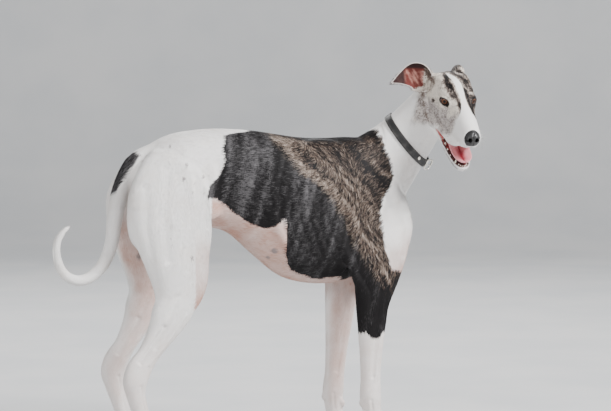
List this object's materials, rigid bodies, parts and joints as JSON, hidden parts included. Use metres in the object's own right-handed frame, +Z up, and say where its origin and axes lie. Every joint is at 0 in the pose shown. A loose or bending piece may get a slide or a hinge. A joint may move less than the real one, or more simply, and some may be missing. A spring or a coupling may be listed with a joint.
{
  "type": "greyhound model",
  "caption": "Life-size standing greyhound, head turned to its right with the mouth open, tail low and hooked, in a plain leather collar",
  "frame": {"origin": "on the floor, midway along, across and under the whole model", "axes": "+X towards the dog's front, +Y to its left, +Z up"},
  "size_m": [0.9488, 0.3906, 0.8614],
  "materials": {
    "coat_white": "short flat white coat",
    "coat_brindle": "short flat coat in dark brindle stripes",
    "coat_ticked": "short flat coat of mixed grey and white",
    "eye": "wet gloss, brown iris",
    "nose_leather": "moist pebbled black",
    "tongue": "moist pink",
    "collar_leather": "worn black leather",
    "collar_metal": "polished, slightly worn"
  },
  "bodies": {
    "root": {"torso": "coat_brindle", "neck": "coat_white", "head": "coat_ticked", "lower_jaw": "coat_white", "ear_right": "coat_ticked", "ear_left": "coat_ticked", "nose": "nose_leather", "tongue": "tongue", "eye_right": "eye", "eye_left": "eye", "tail_base": "coat_white", "tail_middle": "coat_white", "tail_tip": "coat_white", "thigh_right": "coat_white", "thigh_left": "coat_white", "shank_right": "coat_white", "shank_left": "coat_white", "hindpaw_right": "coat_white", "hindpaw_left": "coat_white", "forearm_right": "coat_white", "forearm_left": "coat_white", "forepaw_right": "coat_white", "forepaw_left": "coat_white", "collar_band": "collar_leather", "collar_buckle": "collar_metal", "collar_rivet": "collar_metal"}
  },
  "joints": []
}
